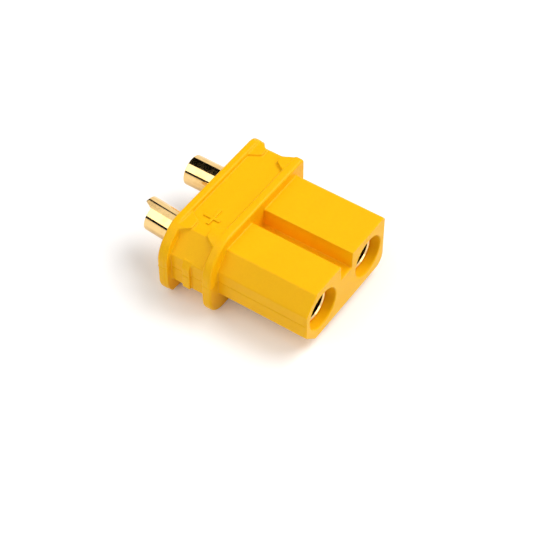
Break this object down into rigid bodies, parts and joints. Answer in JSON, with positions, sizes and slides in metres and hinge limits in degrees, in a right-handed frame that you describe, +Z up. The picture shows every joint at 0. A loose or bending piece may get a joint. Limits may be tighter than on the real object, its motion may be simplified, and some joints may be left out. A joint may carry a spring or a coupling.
{
  "type": "battery connector",
  "caption": "Keyed socket connector for a battery cable: a yellow moulded housing that holds gold bullet contacts with solder cups at the rear.",
  "frame": {"origin": "bottom centre of the bounding box, on the surface that the flanges stand on", "axes": "+Y from the mating face to the solder cups, along the contacts; +X from the positive to the negative contact; +Z up, the slotted side of the plug block on top"},
  "size_m": [0.0106, 0.0132, 0.0054],
  "materials": {
    "housing": "fine matte grain, moulded nylon",
    "contact": "polished gold plating over turned brass"
  },
  "bodies": {
    "root": {"housing": "housing", "contact_positive": "contact", "contact_negative": "contact"}
  },
  "joints": []
}
